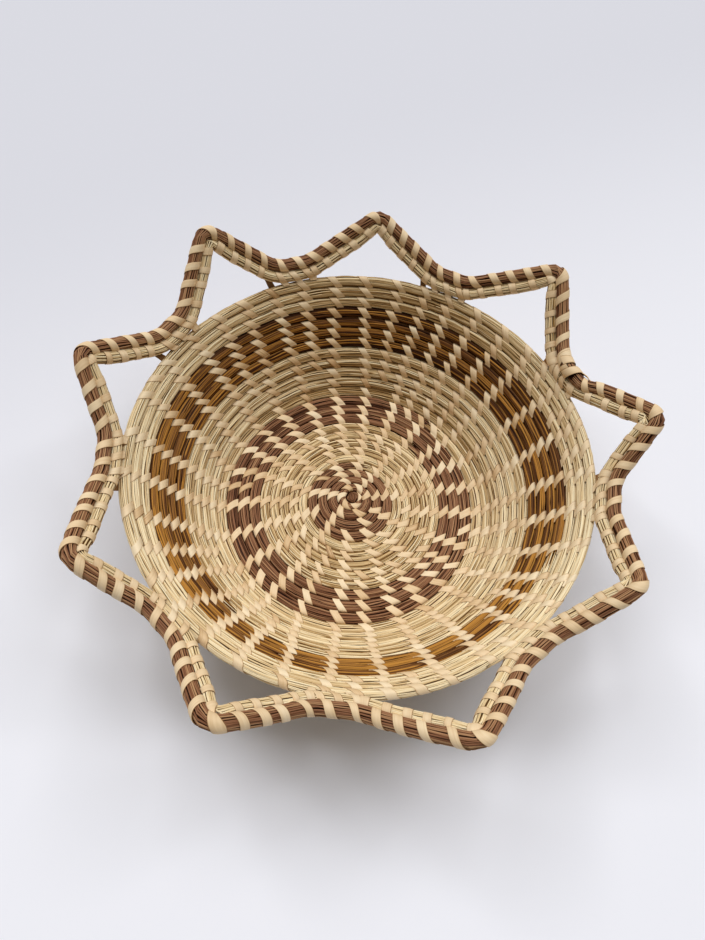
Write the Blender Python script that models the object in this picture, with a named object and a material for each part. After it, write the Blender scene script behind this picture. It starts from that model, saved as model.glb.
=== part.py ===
"""Coiled grass basket with a nine-pointed star rim.

One long bundle of grass is wound clockwise from a knot, flat across the base and then up the flared
wall. Its grass changes colour ring by ring. Two more coils, a slim one and a wrapped one, run side by
side round the rim and rise into nine points. They are lashed to the rim between the points.
The origin is under the knot, on the surface that the basket stands on, and the units are metres.
"""

import bisect
import math

import bmesh
import bpy
from mathutils import Matrix, Vector

MM = 0.001

# The wound bowl. A row's width is the distance from one turn of the bundle to the next.
# The knot is a ball cut off below its middle, at this share of its radius.
KNOT_RADIUS = 3.6 * MM
KNOT_HEIGHT = 4.4 * MM
KNOT_CUT = 0.6
START_ANGLE = math.radians(90)
CENTRE_TURNS, CENTRE_ROW = 5.0, 4.95 * MM
INNER_TURNS, INNER_ROW = 5.1, 5.8 * MM
MEDALLION_TURNS, MEDALLION_ROW = 3.0, 6.9 * MM
WALL_TURNS, WALL_ROW = 5.5, 6.75 * MM
BAND_TURNS, BAND_ROW = 3.7, 6.4 * MM
RIM_TURNS, RIM_ROW = 3.1, 6.2 * MM
ROW_GAP = 0.3 * MM
END_GAP = 0.8 * MM
HEAD_WIDTH = 0.5 * MM
HEAD_TAPER_TURNS = 0.9
TAIL_WIDTH = 1.5 * MM
TAIL_TAPER_TURNS = 0.25

# The bowl's profile, along the middle of the bundle
BASE_RADIUS = 79.5 * MM
BEND_RADIUS = 15.0 * MM
WALL_ANGLE = math.radians(54)

# The star. Its points lie on a cone that flares a little more than the wall. Its two coils run close
# together along the points, and in the valleys they leave room for the lashings.
STAR_LEAN = math.radians(49)
SLIM_RADIUS = 2.5 * MM
WRAPPED_RADIUS = 3.0 * MM
SEAT_GAP = 0.3 * MM
COIL_GAP = 0.2 * MM
VALLEY_ROOM = 0.8 * MM
VALLEY_HALF = 10.0 * MM
VALLEY_BEND = 18.0 * MM
TIP_BEND = 6.5 * MM
SLIM_TIP_BEND = 2.9 * MM
ARC_STEP = math.radians(24)

# Each point's direction in degrees, how far past the rim its two sides would meet in mm, and the
# direction of the valley after it. They run clockwise, and no two hand-made points are alike.
POINTS = (
    (12, 41, 357),
    (336, 34, 316),
    (295, 40, 272),
    (253, 43, 233),
    (216, 36, 191),
    (173, 38, 153),
    (134, 43, 116),
    (94, 35, 73),
    (51, 44, 33),
)

# The palmetto strip that binds the wrapped coil, and the strip that lashes the star to the rim
STRIP_WIDTH = 4.7 * MM
STRIP_THICKNESS = 0.5 * MM
STRIP_GAP = 0.4 * MM
WRAP_PITCH = 11.0 * MM
SPLICE_LENGTH = 8.0 * MM
LASHING_WIDTH = 5.5 * MM
LASHING_THICKNESS = 0.4 * MM
LASHING_REACH = 0.45
LASHING_ARC_STEP = math.radians(36)
RIM_CORNERS = (120, 60)

# How many steps a turn of the spiral has, and how many sides a bundle has
STEPS_A_TURN = 36
SIDES = 6
FLAT_HEIGHT = math.cos(math.pi / SIDES)

PINE_NEEDLE, SWEETGRASS, BULRUSH, PALMETTO = "pine_needle", "sweetgrass", "bulrush", "palmetto"
SECTIONS = (
    ("centre_coil", PINE_NEEDLE, CENTRE_TURNS, CENTRE_ROW, 18),
    ("inner_coil", SWEETGRASS, INNER_TURNS, INNER_ROW, 18),
    ("medallion_coil", PINE_NEEDLE, MEDALLION_TURNS, MEDALLION_ROW, 18),
    ("wall_coil", SWEETGRASS, WALL_TURNS, WALL_ROW, 18),
    ("band_coil", BULRUSH, BAND_TURNS, BAND_ROW, 18),
    ("rim_coil", SWEETGRASS, RIM_TURNS, RIM_ROW, 36),
)
COLOURS = {
    PINE_NEEDLE: ((0.135, 0.060, 0.038), 0.62),
    SWEETGRASS: ((0.545, 0.420, 0.235), 0.58),
    BULRUSH: ((0.325, 0.150, 0.045), 0.55),
    PALMETTO: ((0.720, 0.560, 0.335), 0.66),
}


def clear_scene():
    for old in list(bpy.data.objects):
        bpy.data.objects.remove(old)


def new_material(name):
    """The plant's colour and its dry, matt surface."""
    colour, roughness = COLOURS[name]
    material = bpy.data.materials.new(name)
    material.use_nodes = True
    shader = material.node_tree.nodes["Principled BSDF"]
    shader.inputs["Base Color"].default_value = (*colour, 1.0)
    shader.inputs["Roughness"].default_value = roughness
    shader.inputs["Metallic"].default_value = 0.0
    return material


def place_object(name, data, plant):
    """Puts a curve or a mesh into the basket's collection, in its plant's material."""
    data.materials.append(bpy.data.materials[plant])
    obj = bpy.data.objects.new(name, data)
    bpy.data.collections["star_rim_basket"].objects.link(obj)


def new_bundle(name, plant, points, radii, tilts):
    """A bundle of grass: a curve of straight runs with a six-sided bevel and closed ends."""
    curve = bpy.data.curves.new(name, "CURVE")
    curve.dimensions = "3D"
    curve.twist_mode = "Z_UP"
    curve.bevel_depth = max(radii)
    curve.bevel_resolution = 1
    curve.use_fill_caps = True
    spline = curve.splines.new("POLY")
    spline.points.add(len(points) - 1)
    for target, point, radius, tilt in zip(spline.points, points, radii, tilts):
        target.co = (*point, 1.0)
        target.radius = radius / max(radii)
        target.tilt = tilt
    place_object(name, curve, plant)


def new_strip(name, rings, closed=False):
    """A strip of palmetto: the skin through rings of equal count, capped unless it closes on itself.

    Each four-sided face is cut along its shorter diagonal, so that the strip keeps off what it goes round.
    """
    bm = bmesh.new()
    rows = [[bm.verts.new(point) for point in ring] for ring in rings]
    count = len(rows[0])
    pairs = list(zip(rows, rows[1:]))
    if closed:
        pairs.append((rows[-1], rows[0]))
    else:
        bm.faces.new(rows[0])
        bm.faces.new(rows[-1])
    for low, high in pairs:
        for i in range(count):
            a, b, c, d = low[i], low[(i + 1) % count], high[(i + 1) % count], high[i]
            if (c.co - a.co).length > (d.co - b.co).length:
                a, b, c, d = b, c, d, a
            bm.faces.new((a, b, c))
            bm.faces.new((a, c, d))
    bmesh.ops.recalc_face_normals(bm, faces=bm.faces)
    mesh = bpy.data.meshes.new(name)
    bm.to_mesh(mesh)
    bm.free()
    place_object(name, mesh, PALMETTO)


def make_knot():
    """The knot that the bundle starts from: a low button with a flat underside."""
    bm = bmesh.new()
    bmesh.ops.create_uvsphere(bm, u_segments=12, v_segments=8, radius=1.0)
    bmesh.ops.bisect_plane(
        bm,
        geom=bm.verts[:] + bm.edges[:] + bm.faces[:],
        plane_co=(0, 0, -KNOT_CUT),
        plane_no=(0, 0, -1),
        clear_outer=True,
    )
    rim = [edge for edge in bm.edges if edge.is_boundary]
    bmesh.ops.contextual_create(bm, geom=rim)
    radius = KNOT_RADIUS - ROW_GAP
    height = KNOT_HEIGHT / (1 + KNOT_CUT)
    for vertex in bm.verts:
        x, y, z = vertex.co
        vertex.co = (x * radius, y * radius, (z + KNOT_CUT) * height)
    bmesh.ops.recalc_face_normals(bm, faces=bm.faces)
    mesh = bpy.data.meshes.new("start_knot")
    bm.to_mesh(mesh)
    bm.free()
    place_object("start_knot", mesh, PINE_NEEDLE)


class Spiral:
    """The bowl's bundle: how wide it is at each turn, and where that puts it on the profile."""

    def __init__(self):
        self.turns = sum(turns for _, _, turns, _, _ in SECTIONS)
        steps = math.ceil(self.turns * STEPS_A_TURN) + 1
        self.full = [self.full_width(i / STEPS_A_TURN) for i in range(steps)]
        self.width = [self.full[i] * self.taper(i / STEPS_A_TURN) for i in range(steps)]
        self.edge = [KNOT_RADIUS] * STEPS_A_TURN
        for i in range(STEPS_A_TURN, steps):
            self.edge.append(self.edge[i - STEPS_A_TURN] + self.width[i - STEPS_A_TURN])

    def full_width(self, turn):
        """A new ring's bundle comes to its own width over its first turn."""
        width, begin = CENTRE_ROW, 0.0
        for _, _, turns, row, _ in SECTIONS:
            if turn > begin:
                width += (row - width) * min(1.0, turn - begin)
            begin += turns
        return width

    def taper(self, turn):
        """The bundle starts as a thin tail against the knot, and it thins out again at the rim."""
        head = HEAD_WIDTH / CENTRE_ROW + turn / HEAD_TAPER_TURNS
        tail = TAIL_WIDTH / RIM_ROW + max(self.turns - turn, 0.0) / TAIL_TAPER_TURNS
        return min(1.0, head, tail)

    def vertex(self, index):
        """The middle of the bundle at a vertex of the fine spiral, its radius and its slope."""
        half = self.width[index] / 2
        run = self.edge[index] + half
        flat = BASE_RADIUS - BEND_RADIUS * math.tan(WALL_ANGLE / 2)
        slope = min(max(run - flat, 0.0) / BEND_RADIUS, WALL_ANGLE)
        straight = max(run - flat - BEND_RADIUS * WALL_ANGLE, 0.0)
        radius = min(run, flat) + BEND_RADIUS * math.sin(slope) + straight * math.cos(slope)
        height = BEND_RADIUS * (1 - math.cos(slope)) + straight * math.sin(slope)
        lift = (self.full[index] - ROW_GAP) / 2 * FLAT_HEIGHT
        angle = START_ANGLE - math.tau * index / STEPS_A_TURN
        middle = Vector((radius * math.cos(angle), radius * math.sin(angle), height + lift))
        return middle, half - ROW_GAP / 2, slope

    def at(self, turn, segments):
        """The same at any turn, on the straight run between two vertices of its section."""
        step = STEPS_A_TURN // segments
        offset = step // 2
        below = math.floor((turn * STEPS_A_TURN - offset) / step) * step + offset
        below = min(max(below, 0), len(self.edge) - 1 - step)
        share = (turn * STEPS_A_TURN - below) / step
        low, high = self.vertex(below), self.vertex(below + step)
        return tuple(a + (b - a) * share for a, b in zip(low, high))

    def section(self, begin, end, segments):
        """The places along one ring's bundle, with half of the end gap left at each end."""
        step = STEPS_A_TURN // segments
        first, last = (
            turn + side * END_GAP / 2 / (math.tau * self.at(turn, segments)[0].xy.length)
            for turn, side in ((begin, 1), (end, -1))
        )
        inner = [i for i in range(step // 2, len(self.edge), step) if first < i / STEPS_A_TURN < last]
        return [self.at(first, segments), *map(self.vertex, inner), self.at(last, segments)]

    def rim_at(self, angle):
        """The outermost turn in this direction."""
        turn = (START_ANGLE - angle) / math.tau
        turn += math.floor(self.turns - turn)
        return self.at(turn, SECTIONS[-1][4])

    def rim_edge(self, angle):
        """The radius and the height of that turn's outer edge."""
        middle, radius, slope = self.rim_at(angle)
        return middle.xy.length + radius * math.cos(slope), middle.z + radius * math.sin(slope)


def make_bowl(spiral):
    begin = 0.0
    for name, plant, turns, _, segments in SECTIONS:
        new_bundle(name, plant, *zip(*spiral.section(begin, begin + turns, segments)))
        begin += turns


def clockwise(degrees, after):
    """A direction in radians, as the first one clockwise of another."""
    angle = math.radians(degrees)
    return angle + math.tau * math.floor((after - angle) / math.tau)


class StarCone:
    """The cone that the star lies on. Rolled out flat, its coils are drawn with straight sides."""

    def __init__(self, spiral):
        self.spiral = spiral
        edges = [spiral.rim_edge(math.radians(valley)) for _, _, valley in POINTS]
        self.radius = max(radius for radius, _ in edges)
        self.height = max(height for _, height in edges)

    def flat(self, angle, past_rim):
        """A direction and a distance past the rim, as a point of the flat drawing."""
        reach = self.radius / math.cos(STAR_LEAN) + past_rim
        turned = angle * math.cos(STAR_LEAN)
        return Vector((reach * math.cos(turned), reach * math.sin(turned)))

    def solid(self, point, near):
        """A point of the flat drawing, back in space. Near is a direction close to it."""
        turned = math.atan2(point.y, point.x)
        turned += math.tau * round((near * math.cos(STAR_LEAN) - turned) / math.tau)
        angle = turned / math.cos(STAR_LEAN)
        past_rim = point.length - self.radius / math.cos(STAR_LEAN)
        radius = self.radius + past_rim * math.cos(STAR_LEAN)
        height = self.height + past_rim * math.sin(STAR_LEAN)
        return Vector((radius * math.cos(angle), radius * math.sin(angle), height))

    def valley(self, angle, seat):
        """A coil's straight run along the rim: its start, its middle and its end."""
        lower = (self.radius - self.spiral.rim_edge(angle)[0]) / math.cos(STAR_LEAN)
        middle = self.flat(angle, seat - lower)
        along = Vector((middle.y, -middle.x)).normalized() * VALLEY_HALF
        return middle - along, middle, middle + along


def moved_inwards(corners, distances):
    """An outline whose sides are moved towards the rim, with its corners kept sharp."""
    sides = []
    for a, b, distance in zip(corners, corners[1:], distances):
        inward = Vector((b.y - a.y, a.x - b.x)).normalized() * distance
        sides.append((a + inward, b + inward))
    moved = [sides[0][0]]
    for (a, b), (c, d) in zip(sides, sides[1:]):
        moved.append(a + (b - a) * ((c - a).cross(d - c) / (b - a).cross(d - c)))
    return moved + [sides[-1][1]]


def rounded(corners, bends):
    """The outline with an arc at each inner corner."""
    points = [corners[0]]
    for a, corner, b, bend in zip(corners, corners[1:], corners[2:], bends):
        before, after = (corner - a).normalized(), (b - corner).normalized()
        turn = before.angle_signed(after)
        start = corner - before * bend * math.tan(abs(turn) / 2)
        to_centre = Vector((before.y, -before.x)) * math.copysign(bend, turn)
        centre = start + to_centre
        steps = max(1, math.ceil(abs(turn) / ARC_STEP))
        for i in range(steps + 1):
            spoke = -to_centre
            spoke.rotate(Matrix.Rotation(-turn * i / steps, 2))
            points.append(centre + spoke)
    return points + [corners[-1]]


def star_paths(cone):
    """The middles of the slim and the wrapped coil, point by point, from valley to valley."""
    slim_seat = SEAT_GAP + SLIM_RADIUS
    spacing = SLIM_RADIUS + COIL_GAP + STRIP_THICKNESS + STRIP_GAP + WRAPPED_RADIUS
    valley_spacing = spacing + VALLEY_ROOM
    moves = (valley_spacing, spacing, spacing, valley_spacing)
    here = math.radians(POINTS[-1][2])
    slim, wrapped = [], []
    for tip, reach, valley in POINTS:
        tip_angle = clockwise(tip, here)
        there = clockwise(valley, tip_angle)
        _, middle, leave = cone.valley(here, slim_seat + valley_spacing)
        arrive, next_middle, _ = cone.valley(there, slim_seat + valley_spacing)
        corners = [middle, leave, cone.flat(tip_angle, reach * MM), arrive, next_middle]
        outer = rounded(corners, (VALLEY_BEND, TIP_BEND, VALLEY_BEND))
        slim_bend = VALLEY_BEND + spacing
        inner = rounded(moved_inwards(corners, moves), (slim_bend, SLIM_TIP_BEND, slim_bend))
        wrapped.append([cone.solid(point, tip_angle) for point in outer])
        slim.append([cone.solid(point, tip_angle) for point in inner])
        here = there
    return slim, wrapped


def joined(runs):
    """Runs that end where the next begins, as one list of points."""
    return [point for run in runs for point in run[:-1]] + [runs[-1][-1]]


class Route:
    """A coil's middle with its length, and the sideways and upward directions that its sides face."""

    def __init__(self, points):
        self.points = points
        runs = [(b - a).normalized() for a, b in zip(points, points[1:])]
        self.ahead = [(a + b).normalized() for a, b in zip(runs[:1] + runs, runs + runs[-1:])]
        self.length = [0.0]
        for a, b in zip(points, points[1:]):
            self.length.append(self.length[-1] + (b - a).length)

    def on_skin(self, length, side, radius):
        """A point over one of the bundle's edges, at this length along the coil."""
        low = min(max(bisect.bisect(self.length, length) - 1, 0), len(self.points) - 2)
        share = (length - self.length[low]) / (self.length[low + 1] - self.length[low])
        ends = []
        for i in (low, low + 1):
            sideways = Vector((0, 0, 1)).cross(self.ahead[i]).normalized()
            upward = self.ahead[i].cross(sideways)
            turn = math.tau * side / SIDES
            ends.append(
                self.points[i] + (sideways * math.cos(turn) + upward * math.sin(turn)) * radius
            )
        return ends[0].lerp(ends[1], share)


def make_star_coils(slim, wrapped):
    """Both coils start and end at the last valley, where their ends meet."""
    for name, plant, runs, radius in (
        ("star_slim_coil", SWEETGRASS, slim, SLIM_RADIUS),
        ("star_wrapped_coil", PINE_NEEDLE, wrapped, WRAPPED_RADIUS),
    ):
        points = joined(runs)
        points[0] = points[0] + (points[1] - points[0]).normalized() * END_GAP / 2
        points[-1] = points[-1] + (points[-2] - points[-1]).normalized() * END_GAP / 2
        new_bundle(name, plant, points, [radius] * len(points), [0.0] * len(points))


def make_wraps(wrapped):
    """One strip of palmetto round the wrapped coil for each point of the star."""
    route = Route(joined(wrapped))
    inside = WRAPPED_RADIUS + STRIP_GAP
    begin = SPLICE_LENGTH / 2 + STRIP_GAP
    corner = 0
    for number, run in enumerate(wrapped, start=1):
        corner += len(run) - 1
        end = route.length[corner]
        if number == len(wrapped):
            end -= SPLICE_LENGTH / 2 + STRIP_GAP
        turns = round((end - begin) / WRAP_PITCH)
        pitch = (end - begin) / turns
        rings = []
        for side in range(turns * SIDES - SIDES // 2 + 1):
            middle = begin + STRIP_WIDTH / 2 + pitch * side / SIDES
            rings.append([
                route.on_skin(middle - STRIP_WIDTH / 2, side, inside),
                route.on_skin(middle, side, inside),
                route.on_skin(middle + STRIP_WIDTH / 2, side, inside),
                route.on_skin(middle, side, inside + STRIP_THICKNESS),
            ])
        new_strip(f"star_wrap_{number}", rings)
        begin = end


def make_splice(wrapped):
    """The close turns of strip that cover the place where the wrapped coil's ends meet."""
    inside = WRAPPED_RADIUS + STRIP_GAP
    start, end = Route(wrapped[0]), Route(wrapped[-1])
    half = SPLICE_LENGTH / 2
    rings = []
    for side in range(SIDES):
        ring = []
        for radius in (inside, inside + STRIP_THICKNESS):
            back = end.on_skin(end.length[-1] - half, side, radius)
            front = start.on_skin(half, side, radius)
            ring += [back, front] if radius == inside else [front, back]
        rings.append(ring)
    new_strip("star_splice_wrap", rings, closed=True)


def lashing_line(spiral, angle, slim_middle, clearance):
    """A lashing's run round the rim's bundle and the slim coil, as radius and height."""
    middle, radius, slope = spiral.rim_at(angle)
    rim = Vector((middle.xy.length, middle.z))
    slim = Vector((slim_middle.xy.length, slim_middle.z))
    up_wall = Vector((math.cos(slope), math.sin(slope)))
    inward = Vector((-up_wall.y, up_wall.x))

    def spoke(degrees):
        turn = math.radians(degrees)
        return up_wall * math.cos(turn) + inward * math.sin(turn)

    line = []
    for side in (1, -1):
        half = [
            rim + spoke(RIM_CORNERS[0] * side) * radius * (1 - LASHING_REACH)
            + spoke(180 * side) * radius * LASHING_REACH + spoke(150 * side) * clearance
        ]
        for corner in RIM_CORNERS:
            half.append(rim + spoke(corner * side) * (radius + clearance / FLAT_HEIGHT))
        around = SLIM_RADIUS + clearance
        gap = slim - half[-1]
        bearing = math.atan2(gap.y, gap.x) - side * math.acos(around / gap.length)
        half.append(slim - Vector((math.cos(bearing), math.sin(bearing))) * around)
        line.append((half, bearing + math.pi))
    (upper, begin), (lower, end) = line
    sweep = (end - begin) % -math.tau
    steps = math.ceil(abs(sweep) / LASHING_ARC_STEP)
    arc = [
        slim + Vector((math.cos(begin + sweep * i / steps), math.sin(begin + sweep * i / steps)))
        * (SLIM_RADIUS + clearance)
        for i in range(1, steps)
    ]
    return upper + arc + lower[::-1]


def make_lashings(spiral, slim):
    """At each valley a strip holds the slim coil down on the rim's last row."""
    for number, run in enumerate(slim, start=1):
        middle = run[-1]
        angle = math.atan2(middle.y, middle.x)
        outward = Vector((math.cos(angle), math.sin(angle), 0))
        along = Vector((-outward.y, outward.x, 0)) * LASHING_WIDTH / 2
        lines = [
            [outward * point.x + Vector((0, 0, point.y)) for point in
             lashing_line(spiral, angle, middle, clearance)]
            for clearance in (STRIP_GAP, STRIP_GAP + LASHING_THICKNESS)
        ]
        rings = [(a - along, a + along, b + along, b - along) for a, b in zip(*lines)]
        new_strip(f"star_lashing_{number}", rings)


def main():
    clear_scene()
    parts = bpy.data.collections.new("star_rim_basket")
    bpy.context.scene.collection.children.link(parts)
    for plant in COLOURS:
        new_material(plant)
    spiral = Spiral()
    make_knot()
    make_bowl(spiral)
    slim, wrapped = star_paths(StarCone(spiral))
    make_star_coils(slim, wrapped)
    make_wraps(wrapped)
    make_splice(wrapped)
    make_lashings(spiral, slim)


main()
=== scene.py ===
"""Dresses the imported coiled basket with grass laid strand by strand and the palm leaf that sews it.

Lengths are in metres. The basket stands at the origin, up is +Z, and its bundle is wound clockwise.
"""

import functools
import math

import bpy
import numpy as np
from mathutils import Matrix, Vector


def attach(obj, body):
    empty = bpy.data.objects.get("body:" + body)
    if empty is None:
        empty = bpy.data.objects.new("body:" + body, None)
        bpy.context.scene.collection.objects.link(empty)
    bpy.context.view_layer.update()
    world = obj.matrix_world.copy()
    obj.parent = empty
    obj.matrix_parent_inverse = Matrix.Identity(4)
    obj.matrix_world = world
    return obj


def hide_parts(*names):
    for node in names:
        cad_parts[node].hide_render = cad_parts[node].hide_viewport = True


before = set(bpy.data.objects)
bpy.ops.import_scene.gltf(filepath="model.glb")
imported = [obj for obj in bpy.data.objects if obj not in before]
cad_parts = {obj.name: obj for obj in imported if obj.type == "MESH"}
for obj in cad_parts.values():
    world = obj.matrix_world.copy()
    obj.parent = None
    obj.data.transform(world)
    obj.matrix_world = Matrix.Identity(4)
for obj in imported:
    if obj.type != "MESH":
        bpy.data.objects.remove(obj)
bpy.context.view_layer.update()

bl_info = {
    "name": "Coiled grass basket",
    "version": (1, 0, 0),
    "blender": (4, 5, 0),
    "location": "3D View > Sidebar > Basket",
    "description": "Lays the grass of a coiled basket and sews it with palm leaf",
    "category": "Add Mesh",
}

MM = 0.001

# The solids' spiral, but the centre has 4.1 wider turns in the same room, and its knot is off the middle
KNOT_RADIUS = 3.6 * MM
KNOT_SHIFT = np.array((-1.0 * MM, 4.0 * MM))
SHIFT_REACH = 34.0 * MM
START_ANGLE = math.radians(126)
ROW_GAP = 0.3 * MM
# The start knot's two loops cross, one over the other: each one's height, tilt and direction in radians
KNOT_LOOPS = ((1.95 * MM, 0.375 * MM, 0.4), (2.85 * MM, -0.45 * MM, 1.9))
KNOT_LENGTH, KNOT_WIDTH = 4.0 * MM, 2.2 * MM
KNOT_BUNDLE = 1.5 * MM
KNOT_WINDINGS = 3
KNOT_STEP = 0.6 * MM
KNOT_FINENESS = 0.6
HEAD_WIDTH = 0.5 * MM
HEAD_TAPER_TURNS = 0.9
TAIL_WIDTH = 1.5 * MM
TAIL_TAPER_TURNS = 0.25
BASE_RADIUS = 79.5 * MM
BEND_RADIUS = 15.0 * MM
WALL_ANGLE = math.radians(54)
# The bundle's depth as a share of its width
FLAT_HEIGHT = math.cos(math.radians(30))
STITCH_ROOM = 0.3 * MM
WALL_ROUNDING = 0.4 * MM
STEPS_A_TURN = 180

# Each ring of the bowl: its plant, turns, row width and widest step between two stitches. Then how much
# paler than usual it is, and painted light: how much more so at its two sides and at its near side
RINGS = (
    ("centre", "pine_needle", 4.1, 6.0 * MM, 18.5 * MM, (-0.08, 0.0, 0.0)),
    ("inner", "sweetgrass", 5.1, 5.8 * MM, 19.0 * MM, (-0.09, 0.03, 0.0)),
    ("medallion", "pine_needle", 3.0, 6.9 * MM, 20.5 * MM, (0.03, 0.0, 0.0)),
    ("wall", "sweetgrass", 5.5, 6.75 * MM, 23.0 * MM, (0.02, 0.08, 0.0)),
    ("band", "bulrush", 3.7, 6.4 * MM, 26.0 * MM, (0.03, 0.09, 0.07)),
    ("rim", "sweetgrass", 3.1, 6.2 * MM, 24.0 * MM, (0.11, 0.12, 0.07)),
)

# Where the rings begin and end, in turns
RING_TURNS = np.cumsum([0.0] + [ring[2] for ring in RINGS])

# The row widths at which strands and stitches reach their full size
FULL_ROW = 6.4 * MM
FULL_STITCH_ROW = 6.3 * MM

# The star, as in the solids
STAR_LEAN = math.radians(49)
LEAN_COSINE = math.cos(STAR_LEAN)
SLIM_SEAT = 2.8 * MM
COIL_SPACING = 6.6 * MM
VALLEY_SPACING = 7.4 * MM
SLIM_VALLEY_SPACING = 6.8 * MM
VALLEY_HALF = 10.0 * MM
VALLEY_BEND = 18.0 * MM
TIP_BEND = 6.5 * MM
SLIM_TIP_BEND = 2.9 * MM
ARC_STEP = math.radians(6)
SIDE_STEP = 3.0 * MM
# The slim coil is pressed into each tip, and both coils lie nearer the rim where they are spliced
TIP_TUCK = 2.4 * MM
TIP_REACH = 14.0 * MM
SPLICE_DIP = 6.5 * MM
SPLICE_LIFT = 1.5 * MM
SPLICE_REACH = 27.0 * MM
SPLICE_SIDEWAYS = math.radians(60)

# Each point's direction in degrees, how far past the rim its sides would meet in mm, and the next valley
POINTS = (
    (12, 41, 357),
    (336, 34, 316),
    (295, 40, 272),
    (253, 43, 233),
    (216, 36, 191),
    (173, 38, 153),
    (134, 43, 116),
    (94, 35, 73),
    (51, 44, 33),
)

# The wraps leave this length bare at the join. Three strips cover it: each one's ends, turns, width,
# lead and lift. Two more cross on the slim coil
SPLICE_LENGTH = 12.0 * MM
SPLICE_STRIPS = (
    (-14.0 * MM, -6.5 * MM, 1.0, 4.6 * MM, 0.05, 0.15 * MM),
    (-4.0 * MM, -9.5 * MM, 1.05, 5.0 * MM, 0.35, 0.5 * MM),
    (2.6 * MM, -5.4 * MM, 1.0, 4.6 * MM, 0.85, 0.85 * MM),
)
CROSSED_STRIPS = ((-15.5 * MM, -10.0 * MM), (-9.5 * MM, -15.0 * MM))
CROSSED_WIDTH = 4.4 * MM
# The strip's free end at the join: its bearing, its half width in radians and how much that narrows, where
# it starts, its length, and how high it stands off the coil
END_BEARING = math.radians(38)
END_HALF_WIDTH, END_NARROWING = 0.42, 0.3
END_START, END_LENGTH = 1.5 * MM, 10.5 * MM
END_ARCH = 1.5 * MM
# How far the star's wraps stray from their even places
WRAP_SWAY = 1.3 * MM

# The slim coil's stitches: their distance from the valleys, and how far back and ahead each one goes
VALLEY_ROOM = 12.0 * MM
SLIM_SLANT = (-1.4 * MM, 2.6 * MM)
# The strips that lash it in a valley, by their place. Their ends are in the rim's last row: the bearing,
# the share of the strip's width, the lift and how far along
LASHINGS = (-9.0 * MM, 0.0, 8.5 * MM)
SPLICE_LASHINGS = (-9.0 * MM, -4.0 * MM, 1.5 * MM, 8.5 * MM)
LASHING_ENDS = (
    (40, 0.70, -0.9 * MM, 2.9 * MM),
    (50, 0.90, 0.15 * MM, 2.6 * MM),
    (-50, 0.90, 0.15 * MM, -5.6 * MM),
    (-40, 0.70, -0.9 * MM, -5.9 * MM),
)

# Each grass: how many strands show round a bundle, a blade's length, and how much blades differ in tone
GRASSES = {
    "pine_needle": (23, 240.0 * MM, 0.24),
    "sweetgrass": (24, 260.0 * MM, 0.26),
    "bulrush": (20, 150.0 * MM, 0.42),
}
STRAND_SIDES = 5
# From a strand's crest round it: a little paler on the crest as painted light, and painted shade in the
# gaps beside it
STRAND_PAINTED_SHADING = np.array([0.06, -0.14, -0.6, -0.6, -0.14])
STRAND_STEP = 4.2 * MM
# The core's tone is painted shade: where it shows between strands it is as dark as their hollows
BLADE_TONE, CORE_PAINTED_SHADE, LEAF_TONE = 0.6, -0.3, 0.57
# How near a ring's ends its strands are drawn apart, and by how much. How far the core goes into the row
# inside. How near a blade's end it thins out, and by how much
BLEND_REACH = 25.0 * MM
STAGGER = 9.0 * MM
CORE_REACH = 1.4 * MM
JOINT_REACH = 3.5 * MM
JOINT_THINNING = 0.75
# The longest waves in which a strand strays and rises, and a wound strip strays and widens
SWAY_WAVE, LIFT_WAVE = 70.0 * MM, 45.0 * MM
STRIP_WAVE, STRIP_WIDTH_WAVE = 60.0 * MM, 50.0 * MM
# A wound strip's steps a turn, and the length over which it comes to its own line
STRIP_STEPS = 20
STRIP_EASE = 15.0 * MM
CORE_SIDES = 8
# The half width below which strands are finer, and how much of its thickness a strand's tip has
THIN_BUNDLE = 1.8 * MM
STRAND_TIP = 0.35

# A stitch's path: bearing 0 is the row's outer edge, 90 its visible face, 180 its inner edge. The slants
# are how far along the row it goes, over the face and over the back
FACE_SLANT = 5.2 * MM
BACK_SLANT = 7.0 * MM
# How flat a row's face is, and how much its width counts when strands are spread round it
SQUARENESS = 0.7
WIDE_BY_DEEP = 1.3
# How much a stitch draws the bundle in, and how far along it
SQUEEZE = 0.12
SQUEEZE_REACH = 4.4 * MM
# The first stitches in turns, the least distance between two, and how far each is evened out
FIRST_STITCHES = (0.30, 0.52, 0.70, 0.86, 1.02, 1.17)
CLOSEST_STITCHES = 7.0 * MM
EASE = 0.2
# The radii within which the stitches point more straight out and are narrower
STRAIGHT_RADIUS = 24.0 * MM
NARROW_RADIUS = 18.0 * MM

# The card, laid askew. It is darker beyond the basket, as painted shade
CARD_HALF = 6.0
CARD_ANGLE = math.radians(32)
DARKER_FROM, DARKER_TO = -0.05, 0.35

# Three soft lamps overhead: where each one stands, and its strength
LAMPS = (
    ((-1.3, 1.1, 2.3), 1.3),
    ((1.3, 1.1, 2.3), 0.95),
    ((0.0, 1.0, 2.3), 0.75),
)
LAMP_ANGLE = math.radians(26)
SKY_COLOUR = (1.0, 0.93, 0.82, 1.0)
SKY_STRENGTH = 0.22

# The camera looks down and is rolled a little. Its focal length is in pixels of the photograph
CAMERA_PLACE = (-0.00325, -0.1749, 0.3820)
CAMERA_TILT = math.radians(27.57)
CAMERA_ROLL = math.radians(8.67)
FOCAL_PIXELS, PHOTO_HEIGHT = 680, 940

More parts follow.
